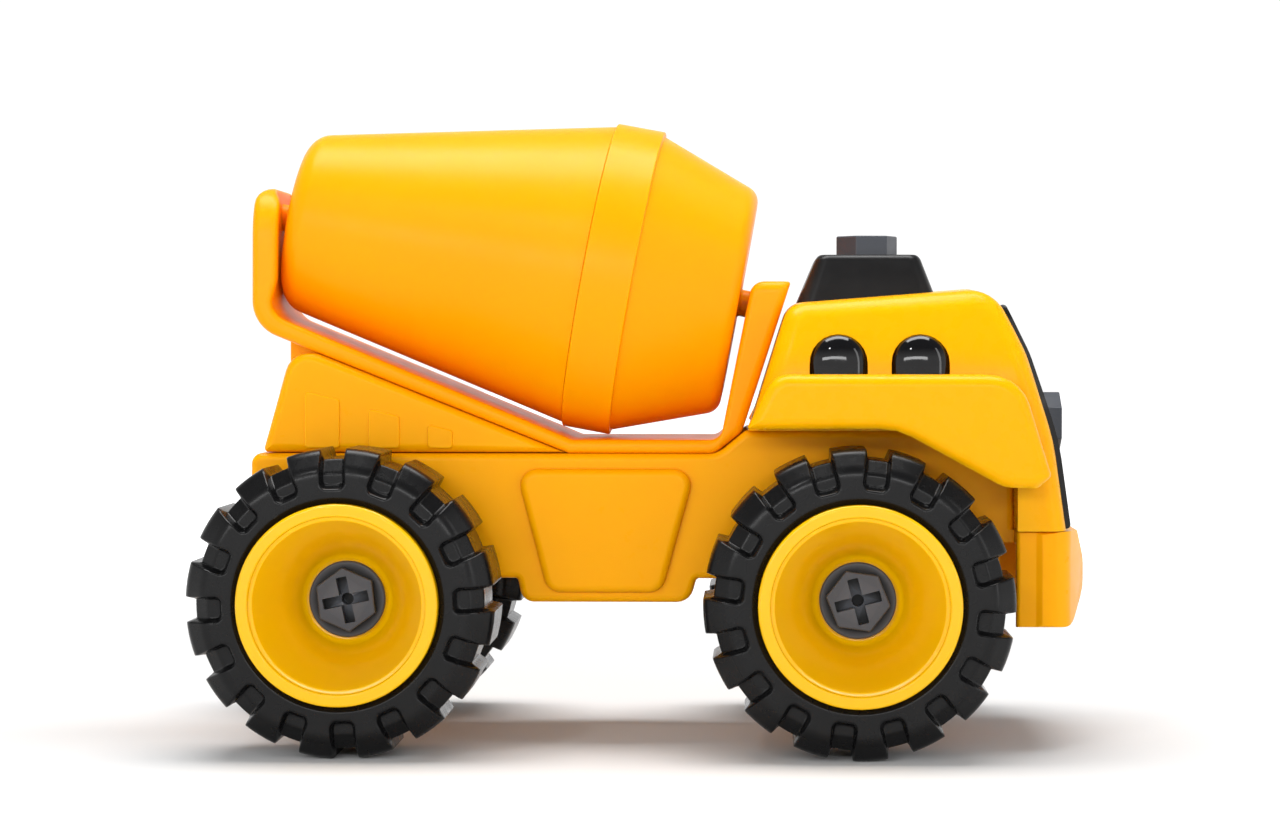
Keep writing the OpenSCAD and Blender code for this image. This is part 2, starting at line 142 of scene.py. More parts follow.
ALONG_Y = Matrix(((1, 0, 0, 0), (0, 0, 1, 0), (0, 1, 0, 0), (0, 0, 0, 1)))   # (x, z, y)
ALONG_X = Matrix(((0, 0, 1, 0), (1, 0, 0, 0), (0, 1, 0, 0), (0, 0, 0, 1)))   # (y, z, x)
ALONG_Z = Matrix.Identity(4)
ON_AXIS = 1e-6           # a point of a lathe's profile nearer than this is on the axis
WELD = 0.02              # corners nearer than this are made one before a bevel
FLAT_DEGREES = 1         # faces that turn less than this are joined before a bevel
BEVEL_DEGREES = 40       # edges that turn more than this get the bevel


def slab(corners, low, high, edge=0.0, place=ALONG_Y, edge_high=None, turns=6, steps=5):
    """A solid: corners (u, v, radius) spread from low to high along the third axis of place.

    Its two end faces are rounded by edge and edge_high. turns is the fineness of the corners,
    and steps that of the rounded ends.
    """
    edge_high = edge if edge_high is None else edge_high
    rows = []
    for k in range(steps + 1 if edge > 0 else 1):
        angle = math.pi / 2 * k / steps
        rows.append((edge * (1 - math.sin(angle)), low + edge * (1 - math.cos(angle))))
    for k in range(steps, -1, -1) if edge_high > 0 else (0,):
        angle = math.pi / 2 * k / steps
        rows.append((edge_high * (1 - math.sin(angle)), high - edge_high * (1 - math.cos(angle))))
    bm = bmesh.new()
    rings = [[bm.verts.new(place @ Vector((p.x, p.y, depth)))
              for p in rounded(drawn_in(corners, drawn), turns)] for drawn, depth in rows]
    count = len(rings[0])
    for one, two in zip(rings, rings[1:]):
        for i in range(count):
            j = (i + 1) % count
            bm.faces.new((one[i], one[j], two[j], two[i]))
    bm.faces.new(rings[0][::-1])
    bm.faces.new(rings[-1])
    return bm


def lathe(profile, place, steps=128):
    """A profile of (radius, height) turned round local Z. Ends on the axis close to a point."""
    bm = bmesh.new()
    rings = []
    for p in profile:
        if p.x < ON_AXIS:
            rings.append([bm.verts.new(place @ Vector((0, 0, p.y)))])
            continue
        rings.append([bm.verts.new(place @ Vector((p.x * math.cos(a), p.x * math.sin(a), p.y)))
                      for a in (2 * math.pi * k / steps for k in range(steps))])
    pairs = list(zip(rings, rings[1:]))
    if len(rings[0]) > 1 and len(rings[-1]) > 1:
        pairs.append((rings[-1], rings[0]))
    for one, two in pairs:
        for i in range(steps):
            j = (i + 1) % steps
            quad = [one[i % len(one)], one[j % len(one)], two[j % len(two)], two[i % len(two)]]
            face = list(dict.fromkeys(quad))
            if len(face) > 2:
                bm.faces.new(face)
    return bm


def cut_rows(bm, axis, places):
    """Adds rows of vertices across the mesh where it crosses the given places."""
    normal = Vector([1 if i == axis else 0 for i in range(3)])
    for place in places:
        geometry = bm.verts[:] + bm.edges[:] + bm.faces[:]
        bmesh.ops.bisect_plane(bm, geom=geometry, plane_co=normal * place, plane_no=normal)


def reshape(bm, warp):
    """Moves every vertex to where warp puts it."""
    for v in bm.verts:
        v.co = warp(v.co)


def finish_piece(name, bm, body, slot, nodes, crease=32, soften=0):
    """Turns a mesh in millimetres into a named piece, right side out, that rides on a body.

    Edges that turn more than crease degrees stay sharp. Where soften is given, a bevel of
    that width rounds them instead, after the small edges that would stop it are cleared.
    """
    if soften:
        bmesh.ops.remove_doubles(bm, verts=bm.verts, dist=WELD)
        bmesh.ops.dissolve_limit(bm, angle_limit=math.radians(FLAT_DEGREES), verts=bm.verts,
                                 edges=bm.edges)
    bmesh.ops.recalc_face_normals(bm, faces=bm.faces)
    if bm.calc_volume(signed=True) < 0:
        bmesh.ops.reverse_faces(bm, faces=bm.faces)
    for v in bm.verts:
        v.co = v.co * MM
    for e in bm.edges:
        if not soften and len(e.link_faces) == 2 and e.calc_face_angle(0) > math.radians(crease):
            e.smooth = False
    for f in bm.faces:
        f.smooth = True
    mesh = bpy.data.meshes.new(name)
    bm.to_mesh(mesh)
    bm.free()
    piece = bpy.data.objects.new(name, mesh)
    bpy.context.scene.collection.objects.link(piece)
    mesh.materials.append(LOOKS[slot])
    if soften:
        bevel = piece.modifiers.new("soft_edges", "BEVEL")
        bevel.width = soften * MM
        bevel.segments = 3
        bevel.limit_method = "ANGLE"
        bevel.angle_limit = math.radians(BEVEL_DEGREES)
    even = piece.modifiers.new("even_normals", "WEIGHTED_NORMAL")
    even.keep_sharp = True
    even.weight = 80
    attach(piece, body)
    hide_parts(*nodes)


# ---- materials ----------------------------------------------------------

MIX_ONE, MIX_TWO, MIX_OUT = 6, 7, 2                    # a Mix node's colour sockets
FLOW_MARKS, SKIN, GRAIN = (14, 2), (220, 4), (900, 2)  # scale and detail of each noise
NOISE_LOW, NOISE_HIGH = 0.3, 0.7                       # the part of a noise that is used
PAINTED_EDGE_HIGHLIGHT = (0.55, 0.68)                              # Pointiness, from none to full painted edge highlight
PAINTED_RECESS_SHADE = (0.50, 0.46)                                 # Pointiness, from none to full painted shade in the hollows


class Maker:
    """Builds a node material on a Principled shader."""

    def __init__(self, name):
        self.material = bpy.data.materials.new(name)
        self.material.use_nodes = True
        self.tree = self.material.node_tree
        self.shader = self.tree.nodes["Principled BSDF"]
        self.where = self.tree.nodes.new("ShaderNodeTexCoord").outputs["Object"]

    def noise(self, scale, detail):
        """Noise that stays with the object, from about 0 to 1."""
        node = self.tree.nodes.new("ShaderNodeTexNoise")
        node.inputs["Scale"].default_value = scale
        node.inputs["Detail"].default_value = detail
        self.tree.links.new(self.where, node.inputs["Vector"])
        return node.outputs["Fac"]

    def ramp(self, value, low, high, out_low, out_high):
        """A value taken from the range low to high into the range out_low to out_high."""
        node = self.tree.nodes.new("ShaderNodeMapRange")
        for socket, number in (("From Min", low), ("From Max", high),
                               ("To Min", out_low), ("To Max", out_high)):
            node.inputs[socket].default_value = number
        self.tree.links.new(value, node.inputs["Value"])
        return node.outputs["Result"]

    def blend(self, factor, one, two):
        """A colour between two, each of them a colour or a socket."""
        node = self.tree.nodes.new("ShaderNodeMix")
        node.data_type = "RGBA"
        self.tree.links.new(factor, node.inputs["Factor"])
        for socket, colour in ((MIX_ONE, one), (MIX_TWO, two)):
            if isinstance(colour, tuple):
                node.inputs[socket].default_value = (*colour, 1)
            else:
                self.tree.links.new(colour, node.inputs[socket])
        return node.outputs[MIX_OUT]

    def edges(self, low, high):
        """0 to 1 as the surface's Pointiness goes from low to high."""
        geometry = self.tree.nodes.new("ShaderNodeNewGeometry")
        return self.ramp(geometry.outputs["Pointiness"], low, high, 0, 1)

    def bump(self, height, strength, distance):
        node = self.tree.nodes.new("ShaderNodeBump")
        node.inputs["Strength"].default_value = strength
        node.inputs["Distance"].default_value = distance
        self.tree.links.new(height, node.inputs["Height"])
        self.tree.links.new(node.outputs["Normal"], self.shader.inputs["Normal"])

    def link(self, output, socket):
        self.tree.links.new(output, self.shader.inputs[socket])

    def set(self, socket, value):
        self.shader.inputs[socket].default_value = value


def moulded_plastic(name, colour, deep, edge_highlight, roughness, shine, glow=0, grain=0.05, recess_shade=None):
    """Moulded plastic: faint flow marks in the colour, a fine skin, and edges painted paler as a highlight.

    glow is the light that the plastic lets in; the last colour, where given, is painted shade for its hollows.
    """
    m = Maker(name)
    flow = m.ramp(m.noise(*FLOW_MARKS), NOISE_LOW, NOISE_HIGH, 0, 1)
    body = m.blend(flow, colour, deep)
    # painted highlight: edges turned towards the paler colour by their Pointiness
    painted_light_colour = m.blend(m.edges(*PAINTED_EDGE_HIGHLIGHT), body, edge_highlight)
    # painted shade: hollows darkened towards the last colour by their Pointiness
    if recess_shade:
        painted_light_colour = m.blend(m.edges(*PAINTED_RECESS_SHADE), painted_light_colour, recess_shade)
    m.link(painted_light_colour, "Base Color")
    skin = m.ramp(m.noise(*SKIN), NOISE_LOW, NOISE_HIGH, roughness - 0.03, roughness + 0.05)
    m.link(skin, "Roughness")
    m.bump(m.noise(*GRAIN), grain, 0.0001)
    if glow:
        m.set("Subsurface Weight", glow)
        m.set("Subsurface Radius", (0.006, 0.0025, 0.0006))
        m.set("Subsurface Scale", 1.0)
    m.set("IOR", 1.5)
    m.set("Specular IOR Level", shine)
    return m.material


# each look: its colour, a second colour for flow marks, and a paler colour painted on edges as a highlight
LOOKS = {
    "cab_yellow": moulded_plastic(
        "cab_plastic", (0.92, 0.385, 0.0), (0.90, 0.37, 0.0), (0.95, 0.43, 0.005),
        roughness=0.30, shine=0.09, glow=0.15),
    "fender_yellow": moulded_plastic(
        "fender_plastic", (0.88, 0.40, 0.0), (0.87, 0.385, 0.0), (0.93, 0.45, 0.005),
        roughness=0.27, shine=0.1, glow=0.15),
    "drum_orange": moulded_plastic(
        "drum_plastic", (0.99, 0.35, 0.0), (0.97, 0.335, 0.0), (1.0, 0.42, 0.01),
        roughness=0.32, shine=0.1, glow=0.2),
    "rim_yellow": moulded_plastic(
        "rim_plastic", (0.86, 0.47, 0.0), (0.84, 0.45, 0.0), (0.95, 0.58, 0.01),
        roughness=0.16, shine=0.35, glow=0.1),
    "tyre_black": moulded_plastic(
        "tyre_rubber", (0.004, 0.004, 0.0043), (0.006, 0.006, 0.0063), (0.018, 0.018, 0.018),
        roughness=0.25, shine=0.2, grain=0.1),
    "gloss_black": moulded_plastic(
        "gloss_black", (0.002, 0.002, 0.003), (0.003, 0.003, 0.004), (0.008, 0.008, 0.008),
        roughness=0.06, shine=0.4),
    "satin_black": moulded_plastic(
        "satin_black", (0.006, 0.006, 0.0065), (0.009, 0.009, 0.0095), (0.03, 0.03, 0.031),
        roughness=0.32, shine=0.22, grain=0.1),
    # the bolts get painted shade in the hollows of their cross slots
    "bolt_grey": moulded_plastic(
        "bolt_plastic", (0.055, 0.060, 0.072), (0.065, 0.070, 0.082), (0.17, 0.175, 0.19),
        roughness=0.34, shine=0.2, grain=0.1, recess_shade=(0.008, 0.008, 0.009)),
}

# ---- joining solids -----------------------------------------------------


def combine(base, other, how):
    """One solid from two: how is UNION, DIFFERENCE or INTERSECT."""
    made = []
    for bm in (base, other):
        bmesh.ops.recalc_face_normals(bm, faces=bm.faces)
        mesh = bpy.data.meshes.new("work")
        bm.to_mesh(mesh)
        bm.free()
        made.append(bpy.data.objects.new("work", mesh))
        bpy.context.scene.collection.objects.link(made[-1])
    step = made[0].modifiers.new("join", "BOOLEAN")
    step.operation = how
    step.solver = "EXACT"
    step.object = made[1]
    result = bmesh.new()
    result.from_mesh(made[0].evaluated_get(bpy.context.evaluated_depsgraph_get()).data)
    for work in made:
        mesh = work.data
        bpy.data.objects.remove(work)
        bpy.data.meshes.remove(mesh)
    return result


def sharp(*points):
    """Plain points as corners with no radius."""
    return [(u, v, 0) for u, v in points]


def block(low, high):
    """A box used as a cutter."""
    return slab(sharp((low[0], low[2]), (high[0], low[2]), (high[0], high[2]), (low[0], high[2])),
                low[1], high[1])


def rod(place, radius, low, high, sides=64):
    """A cylinder along local Z of place."""
    circle = sharp(*((radius * math.cos(a), radius * math.sin(a))
                     for a in (2 * math.pi * k / sides for k in range(sides))))
    return slab(circle, low, high, place=place)


def mirrored_slab(outline, low, high, edge, side):
    """A slab from low to high away from the truck's middle, rounded at its outer end."""
    if side > 0:
        return slab(outline, low, high, 0, edge_high=edge)
    return slab(outline, -high, -low, edge, edge_high=0)


def both(bm, make, *values):
    """Adds what make gives for each side of the truck. The side is the last value it gets."""
    for side in (-1, 1):
        bm = combine(bm, make(*values, side), "UNION")
    return bm


# ---- bolts --------------------------------------------------------------

HEX_R, HEX_CORNER, HEAD_EDGE = 9.3, 0.6, 0.5
SHANK_R, SHANK_CHAMFER = 5, 0.8
FLANGE_R, FLANGE_H = 11, 2
SLOT_W, SLOT_LEN, SLOT_DEPTH, SLOT_CORNER = 3.1, 13.3, 4.4, 0.3
PILOT_R = 1.75           # the round hole in the middle of the cross
HEAD_SUNK, STEM_SUNK = 0.5, 0.2    # how far the parts of a bolt run into each other


def spun(corners, degrees):
    """Corners turned about the middle."""
    c, s = math.cos(math.radians(degrees)), math.sin(math.radians(degrees))
    return [(u * c - v * s, u * s + v * c, radius) for u, v, radius in corners]


def make_bolt(name, node, place, head_h, length, hex_turn, slot_turn, flanged=False):
    """A plastic bolt with a hexagon head and a cross slot, with or without a rounded flange."""
    lift = FLANGE_H if flanged else 0
    top = lift + head_h
    corners = [(HEX_R * math.cos(math.radians(60 * k)), HEX_R * math.sin(math.radians(60 * k)),
                HEX_CORNER) for k in range(6)]
    bm = slab(spun(corners, hex_turn), lift - HEAD_SUNK, top, place=ALONG_Z,
              edge_high=HEAD_EDGE, turns=4)
    stem = [Vector(p) for p in ((0, -length), (SHANK_R - SHANK_CHAMFER, -length),
                                (SHANK_R, SHANK_CHAMFER - length),
                                (SHANK_R, lift + STEM_SUNK), (0, lift + STEM_SUNK))]
    bm = combine(bm, lathe(stem, ALONG_Z, 64), "UNION")
    if flanged:
        flange = rounded([(0, 0, 0), (FLANGE_R, 0, 0.4), (FLANGE_R, FLANGE_H, 0.7),
                          (0, FLANGE_H, 0)], closed=False)
        bm = combine(bm, lathe(flange, ALONG_Z, 96), "UNION")
    u, v = SLOT_LEN / 2, SLOT_W / 2
    arm = [(-u, -v, SLOT_CORNER), (u, -v, SLOT_CORNER), (u, v, SLOT_CORNER), (-u, v, SLOT_CORNER)]
    for quarter in (0, 90):
        cutter = slab(spun(arm, slot_turn + quarter), top - SLOT_DEPTH, top + 1, place=ALONG_Z)
        bm = combine(bm, cutter, "DIFFERENCE")
    bm = combine(bm, rod(ALONG_Z, PILOT_R, top - 2 * SLOT_DEPTH, top + 1), "DIFFERENCE")
    bm.transform(place)
    finish_piece(name, bm, "truck", "bolt_grey", [node])


# ---- wheels -------------------------------------------------------------

LUGS = 16
LUG_H = 3.0
GROOVE_HALF = 3.2        # half the width of a groove between two lugs
GROOVE_WALL = 0.55       # half the width of a groove's sloping wall
GROOVE_CORNER = 1.8
GROOVE_END_R = 33.0      # how near the axle a groove runs down the tyre's side
TREAD_MARGIN = 6.5       # nearer a side face than this, rows are close and grooves have an end
FINE_ROW, COARSE_ROW = 0.45, 2.8
NO_END = 99              # stands for a groove's end that is too far away to matter
GROOVE_STATIONS = (0, 1.4, 2.3, 2.7, 3.0, 3.3, 3.65, 4.1)
TYRE_PHASES = {"rear_left": 4, "rear_right": 13.5, "front_left": 12, "front_right": 4.1}
RIM_SECTION_W = 39.5     # from the rim's outer face to its inner edge
RIM_WALL = 2.4
RING_W = 3.4             # the proud ring round the dish
HUB_R, BORE_R = 8.5, 5.08
DISH_FLOOR = -4.0        # the middle of the dish, measured from the middle of the tyre
BOLT_GAP = 0.2           # from the dish's middle to the bolt's flange
# how far each bolt's hexagon and cross slot are turned, in degrees
BOLT_TURNS = {"rear_left": (10, -3), "rear_right": (36.5, 11.8),
              "front_left": (23, 10), "front_right": (52, 14.6)}


def tyre_rows(radius, half, bead):
    """Points (radius, height) down the tyre's section, with the normal of each."""
    path = rounded([(bead, half - 1.5, 0), (bead + 1.5, half, 1), (radius - 6, half, 5),
                    (radius, half - 5, 4), (radius, 0, 0)], 8, closed=False)
    rows = [path[0]]
    for p, q in zip(path, path[1:]):
        step = FINE_ROW if q.y > half - TREAD_MARGIN else COARSE_ROW
        parts = max(1, math.ceil((q - p).length / step))
        rows += [p.lerp(q, (k + 1) / parts) for k in range(parts)]
    rows += [Vector((p.x, -p.y)) for p in rows[-2::-1]]
    found = []
    for i, p in enumerate(rows):
        along = rows[min(i + 1, len(rows) - 1)] - rows[max(i - 1, 0)]
        found.append((p, Vector((-along.y, along.x)).normalized()))
    return found


def groove_weight(t, r, on_side):
    """How deep a point lies in a groove, from 0 on a lug to 1 on the groove's floor."""
    over = abs(t) - (GROOVE_HALF - GROOVE_CORNER)
    under = GROOVE_CORNER - (r - GROOVE_END_R if on_side else NO_END)
    gap = math.hypot(max(over, 0), max(under, 0)) + min(max(over, under), 0) - GROOVE_CORNER
    return smooth((GROOVE_WALL - gap) / (2 * GROOVE_WALL))


def tyre_bmesh(radius, half, bead):
    """One tyre about local Z, with a groove between each lug and the next."""
    pitch = 2 * math.pi / LUGS
    widest = GROOVE_STATIONS[-1]
    # each station is its distance from the groove's middle, then its share of the lug beyond
    stations = [(-widest, share) for share in (0.7, 0.35)]
    stations += [(-t, None) for t in GROOVE_STATIONS[:0:-1]]
    stations += [(t, None) for t in GROOVE_STATIONS]
    stations += [(widest, share) for share in (0.35, 0.7, 1.0)]
    bm = bmesh.new()
    rings = []
    for p, normal in tyre_rows(radius, half, bead):
        on_side = abs(p.y) > half - TREAD_MARGIN
        inward = 1 if normal.dot(p - Vector((bead, 0))) < 0 else -1
        ring = []
        for lug in range(LUGS):
            for t, share in stations:
                weight = groove_weight(t, p.x, on_side) if share is None else 0
                sunk = p + normal * (LUG_H * weight * inward)
                if share is not None:
                    side = 1 if t > 0 else -1
                    t = side * (abs(t) + share * (sunk.x * math.sin(pitch / 2) - abs(t)))
                angle = (lug + 0.5) * pitch + math.asin(t / sunk.x)
                ring.append(bm.verts.new((sunk.x * math.cos(angle), sunk.x * math.sin(angle),
                                          sunk.y)))
        rings.append(ring)
    count = len(rings[0])
    for one, two in zip(rings, rings[1:] + rings[:1]):
        for i in range(count):
            j = (i + 1) % count
            bm.faces.new((one[i], one[j], two[j], two[i]))
    return bm


def rim_profile(outer, inner, hub_end, rim_r):
    """Section of the rim: a proud ring, a step, and a smooth dish down to the hub."""
    floor = DISH_FLOOR
    return rounded([(BORE_R, floor, 0), (12.6, floor, 2.5), (rim_r - 4.6, outer - 1.6, 0.7),
                    (rim_r - 3.6, outer - 1.4, 0.3), (rim_r - RING_W, outer, 0.55),
                    (rim_r, outer, 0.9), (rim_r, inner, 0.5), (rim_r - RIM_WALL, inner, 0.5),
                    (rim_r - RIM_WALL, outer - 6.5, 0), (11.4, floor - 2.6, 0),
                    (HUB_R, floor - 3.4, 0), (HUB_R, hub_end, 0), (BORE_R, hub_end, 0)], 6)


def make_wheels():
    """The four tyres, rims and wheel bolts, all from the size of one CAD wheel."""
    low, high = span("tyre_rear_right")
    radius, half = (high.x - low.x) / 2, (high.y - low.y) / 2
    rim_low, rim_high = span("rim_rear_right")
    outer = half + (low.y - rim_low.y)
    inner = outer - RIM_SECTION_W
    hub_end = outer - (rim_high.y - rim_low.y)
    rim_r = (rim_high.x - rim_low.x) / 2
    bead = rim_r + 0.1
    tyre = tyre_bmesh(radius, half, bead)
    profile = rim_profile(outer, inner, hub_end, rim_r)
    bolt_lift = Matrix.Translation((0, 0, DISH_FLOOR + BOLT_GAP))
    for end in ENDS:
        for side in SIDES:
            wheel = f"{end}_{side}"
            low, high = span(f"tyre_{wheel}")
            place = Matrix.Translation((low + high) / 2) @ Matrix.Rotation(
                math.radians(-90 * SIDES[side]), 4, "X")
            skin = tyre.copy()
            skin.transform(place @ Matrix.Rotation(math.radians(TYRE_PHASES[wheel]), 4, "Z"))
            finish_piece(f"lugged_tyre_{wheel}", skin, f"wheel_{wheel}", "tyre_black",
                         [f"tyre_{wheel}"], crease=70)
            finish_piece(f"dished_rim_{wheel}", lathe(profile, place, 160), f"wheel_{wheel}",
                         "rim_yellow", [f"rim_{wheel}"], crease=50)
            hex_turn, slot_turn = BOLT_TURNS[wheel]
            make_bolt(f"axle_bolt_{wheel}", f"wheel_bolt_{wheel}", place @ bolt_lift, head_h=3,
                      length=30, hex_turn=hex_turn, slot_turn=slot_turn, flanged=True)
    tyre.free()


# ---- drum ---------------------------------------------------------------


DRUM_SKIN = 2.2
STUB_R = 4
REAR_END, REAR_STUB = -99.7, 6.1     # along the drum's axis: its rear end, and the pivot's reach
FRONT_END, FRONT_STUB = 38.3, 8
REAR_RIM = -97.8                     # where the rear end's rounding meets the cone
REAR_R, FRONT_R = 26, 33.4
BAND_R, BAND_HALF = 46.3, 7.25
NECK_R, SEAM = 43.9, -7.35           # the rear shell's neck inside the band, and its shoulder


def drum_place():
    """Local Z runs along the drum's axis, nose first."""
    spin = next(j for j in frame["joints"] if j["name"] == "drum_spin")
    axis = Vector(spin["axis"]).normalized()
    across = Vector((0, 1, 0))
    basis = Matrix((across.cross(axis), across, axis)).transposed()
    return Matrix.Translation(Vector(spin["pos_m"]) / MM) @ basis.to_4x4()


def make_drum():
    """The two shells of the drum, as sections turned round its axis."""
    rear = rounded([(0, REAR_END - REAR_STUB, 0), (STUB_R, REAR_END - REAR_STUB, 0.5),
                    (STUB_R, REAR_END, 0.8), (10, REAR_END + 0.3, 4), (17, REAR_RIM - 0.3, 12),
                    (REAR_R, REAR_RIM, 7.5), (BAND_R - 1, SEAM, 0.2), (NECK_R, SEAM, 0),
                    (NECK_R, 3, 0), (NECK_R - DRUM_SKIN, 3, 0), (NECK_R - DRUM_SKIN, SEAM - 3, 0),
                    (BAND_R - DRUM_SKIN - 2, SEAM - 4, 0),
                    (REAR_R - DRUM_SKIN, REAR_RIM + DRUM_SKIN, 5),
                    (0, REAR_END + DRUM_SKIN, 0)], 10, closed=False)
    front = rounded([(0, FRONT_END + FRONT_STUB, 0), (STUB_R, FRONT_END + FRONT_STUB, 0.5),
                     (STUB_R, FRONT_END, 0.8), (FRONT_R, FRONT_END, 5),
                     (BAND_R - 1.4, BAND_HALF, 0.3), (BAND_R, BAND_HALF, 0.5),
                     (BAND_R, -BAND_HALF, 0.5), (NECK_R + 0.1, -BAND_HALF, 0),
                     (NECK_R + 0.1, 3.2, 0), (NECK_R - DRUM_SKIN, 3.2, 0),
                     (NECK_R - DRUM_SKIN, BAND_HALF - 1, 0),
                     (FRONT_R - DRUM_SKIN, FRONT_END - DRUM_SKIN, 3),
                     (0, FRONT_END - DRUM_SKIN, 0)], 10, closed=False)
    for name, profile, node in (("drum_rear_cone", rear, "drum_rear_shell"),
                                ("drum_front_cone", front, "drum_front_shell")):
        finish_piece(name, lathe(profile, drum_place(), 192), "drum", "drum_orange", [node],
                     crease=50)


# ---- cradle -------------------------------------------------------------


STRIP_EDGE, LIP_EDGE = 2.8, 1.9      # roundings along the strip's outer and inner face
EDGE_SHARE = 0.46                    # the most of the strip's thickness that a rounding takes
LIP_H = 2.2                          # the raised lips along the rear post's two edges
POST_TIP, NOSE_TIP = 14, 4           # how much of each end of the strip is rounded
NOSE_TOP = 135.6
REAR_POST_X = -100                   # the rear post lies behind this
NOSE_POST_X, NOSE_POST_Z = 26, 100   # the front post lies in front of and above this
POST_FOOT_Z = 60                     # the rear post narrows upwards from this height
TIP_STEPS, EDGE_STEPS, WALL_STEPS = 9, 6, 4


def paired_path(corners, turns=9, spans=7):
    """Points along one face of the strip, as many for every strip with as many corners."""
    ends = [Vector(c[:2]) for c in corners]
    points = []
    for i, here in enumerate(ends):
        if i in (0, len(corners) - 1):
            arc = [here]
        else:
            arc = arc_points(*corner_arc(ends[i - 1], here, ends[i + 1], corners[i][2]), turns)
        if points:
            start = points[-1]
            points += [start.lerp(arc[0], k / spans) for k in range(1, spans)]
        points += arc
    return points


def fall(radius, distance):
    """How far a quarter round has drawn in at a distance from its end."""
    if distance >= radius:
        return 0
    return radius - math.sqrt(max(0, radius ** 2 - (radius - distance) ** 2))


def end_stations(path, reach):
    """Stations over the first part of a path, closer together towards its end."""
    run = path[1] - path[0]
    steps = [reach * (1 - math.cos(math.pi / 2 * k / TIP_STEPS)) for k in range(TIP_STEPS + 1)]
    return [path[0] + run * (step / run.length) for step in steps]


def cradle_faces(low, high):
    """Stations (x, z) along the outer and the inner face of the strip, from post to post."""
    rear_x, post_top = low.x, high.z
    base = DECK_Z + 4
    post_in = rear_x + 5.3
    lower = [(rear_x, post_top, 0), (rear_x, beam_z(rear_x), 11), (BEAM_FOOT_X, DECK_Z, 2),
             (20.5, DECK_Z, 6), (28.3, 91.5, 5), (42.6, NOSE_TOP, 0)]
    upper = [(post_in, post_top, 0), (post_in, beam_z(post_in) + 5.8, 8), (-21.5, base, 3),
             (22, base, 4), (23.3, 96, 0.5), (31.2, NOSE_TOP, 0)]
    outer, inner = paired_path(lower), paired_path(upper)
    tip, tip_in = end_stations(outer, POST_TIP), end_stations(inner, POST_TIP)
    past = next(i for i, p in enumerate(outer) if p.y < tip[-1].y - 0.5)
    outer, inner = tip + outer[past:], tip_in + inner[past:]
    tip, tip_in = end_stations(outer[::-1], NOSE_TIP), end_stations(inner[::-1], NOSE_TIP)
    return outer[:-1] + tip[::-1], inner[:-1] + tip_in[::-1]


def strip_section(width, thick, lip):
    """Points (y, depth) round the strip, with a lip along both edges of its inner face."""
    edge = min(STRIP_EDGE, thick * EDGE_SHARE)
    lip_edge = min(LIP_EDGE, EDGE_SHARE * (thick + lip))
    wall_in = width - 5
    half = [(0, 0), (wall_in * 0.5, 0), (wall_in, 0)]
    for k in range(EDGE_STEPS + 1):
        t = math.pi / 2 * k / EDGE_STEPS
        half.append((width - edge + edge * math.sin(t), edge - edge * math.cos(t)))
    for k in range(EDGE_STEPS + 1):
        t = math.pi / 2 * k / EDGE_STEPS
        half.append((width - lip_edge + lip_edge * math.cos(t),
                     thick + lip - lip_edge + lip_edge * math.sin(t)))
    for k in range(WALL_STEPS + 1):
        t = k / WALL_STEPS
        half.append((wall_in + 1.2 - 1.8 * t, thick + lip * (1 - smooth(t))))
    half += [(wall_in * 0.5, thick), (0, thick)]
    return half + [(-y, d) for y, d in half[-2:0:-1]]


def make_cradle():
    """One bent strip: rear post, sloping beam, base and front post, with the drum's bores."""
    low, high = span("cradle")
    half_w, post_top = high.y, high.z
    bm = bmesh.new()
    rings = []
    for a, b in zip(*cradle_faces(low, high)):
        across = (b - a).normalized()
        width, lip = half_w, 0.0
        if a.x < REAR_POST_X:
            from_top = post_top - (a.y + b.y) / 2
            narrowing = 3 * (a.y - POST_FOOT_Z) / (post_top - POST_FOOT_Z)
            width = half_w - narrowing - fall(POST_TIP, from_top)
            a = a + across * fall(4.4, from_top)
            b = b - across * fall(0.7, from_top)
            lip = LIP_H * smooth(from_top / 5) * smooth((min(a.y, b.y) - 124) / 12)
        elif a.x > NOSE_POST_X and a.y > NOSE_POST_Z:
            from_top = NOSE_TOP - a.y
            width = half_w - fall(3, from_top)
            a = a + across * fall(1, from_top)
            b = b - across * fall(3.4, from_top)
        rings.append([bm.verts.new((a.x + across.x * d, y, a.y + across.y * d))
                      for y, d in strip_section(width, (b - a).length, lip)])
    around = len(rings[0])
    for one, two in zip(rings, rings[1:]):
        for i in range(around):
            j = (i + 1) % around
            bm.faces.new((one[i], one[j], two[j], two[i]))
    bm.faces.new(rings[0][::-1])
    bm.faces.new(rings[-1])
    bore_r = STUB_R + 0.08
    for start, depth in ((REAR_END - REAR_STUB - 0.4, 10), (FRONT_END, 8.6)):
        bm = combine(bm, rod(drum_place(), bore_r, start, start + depth), "DIFFERENCE")
    finish_piece("drum_cradle", bm, "truck", "drum_orange", ["cradle"], crease=38)


# ---- chassis and pedestal -----------------------------------------------


FLOOR_Z, BELLY_Z, CAB_DECK_Z = 48.6, 41.6, 92.0
BUMPER_HALF = 42
AXLE_R, AXLE_HALF = 9, 33.7


